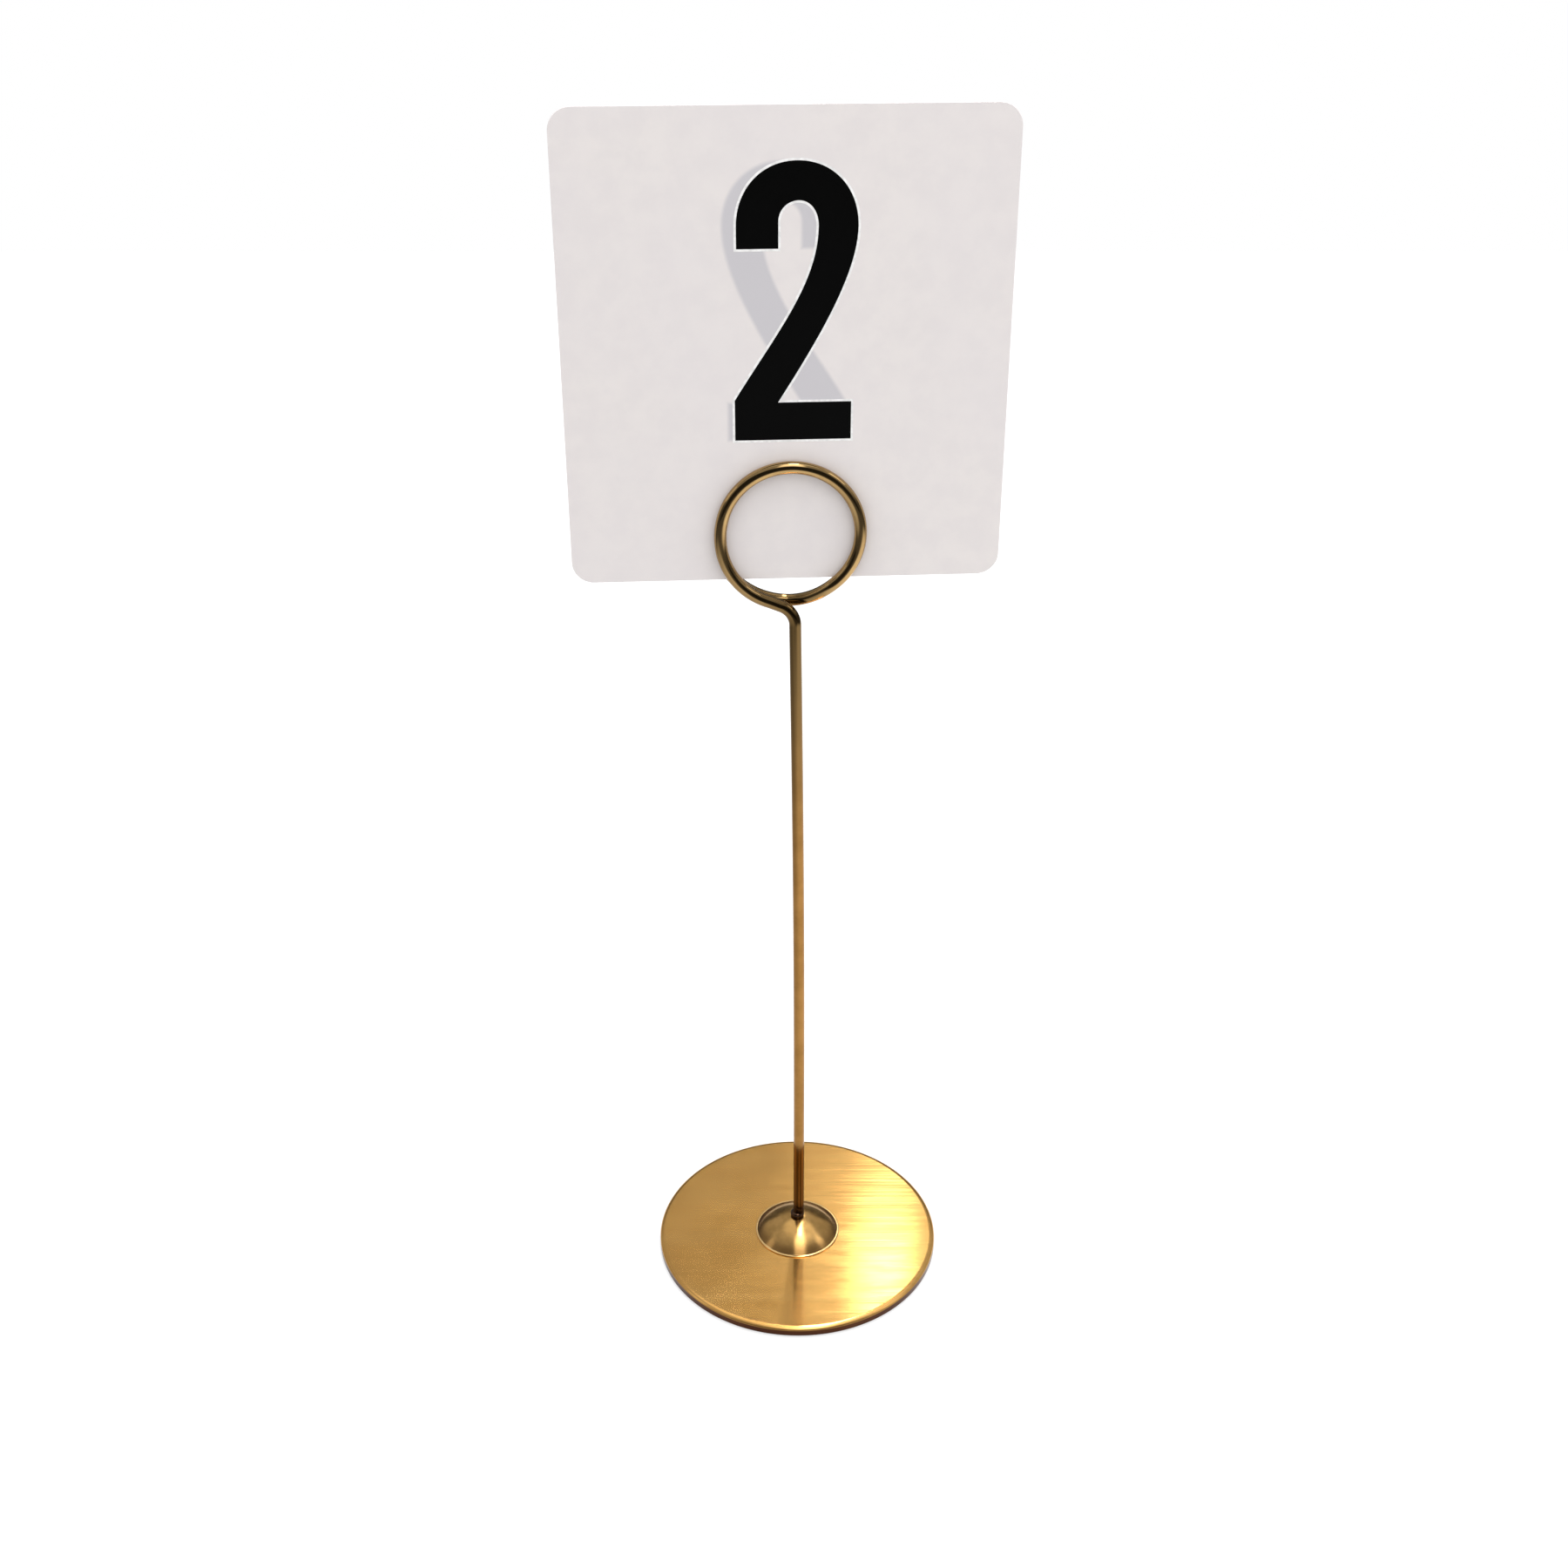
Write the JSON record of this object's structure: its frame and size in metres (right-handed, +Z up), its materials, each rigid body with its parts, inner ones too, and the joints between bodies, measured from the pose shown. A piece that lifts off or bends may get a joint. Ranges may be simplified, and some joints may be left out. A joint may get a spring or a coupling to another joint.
{
  "type": "place card holder",
  "caption": "Table number stand: round weighted brass base, slim wire stem and a wire ring clip that grips a plastic number card.",
  "frame": {"origin": "middle of the underside, on the stem's foot axis", "axes": "+Z up, +X to the right of someone who reads the card, -Y towards that reader"},
  "size_m": [0.0952, 0.0742, 0.2943],
  "materials": {
    "plate_brass": "brushed, lacquered",
    "boss_bronze": "turned, satin",
    "wire_brass": "bright drawn",
    "plain_steel": "plain",
    "ballast_steel": "plain",
    "pad_felt": "felt",
    "card_plastic": "fine matt, slightly translucent"
  },
  "bodies": {
    "stand": {"base_plate": "plate_brass", "boss": "boss_bronze", "stem_clip": "wire_brass", "rivet_washer": "plain_steel", "ballast_disc": "ballast_steel", "base_pad": "pad_felt"},
    "card": {"number_card": "card_plastic"}
  },
  "joints": [
    {"name": "card_slide", "type": "slide", "parent": "stand", "child": "card", "axis": [0, 0, 1], "range_m": [-0.0012, 0.032]}
  ]
}
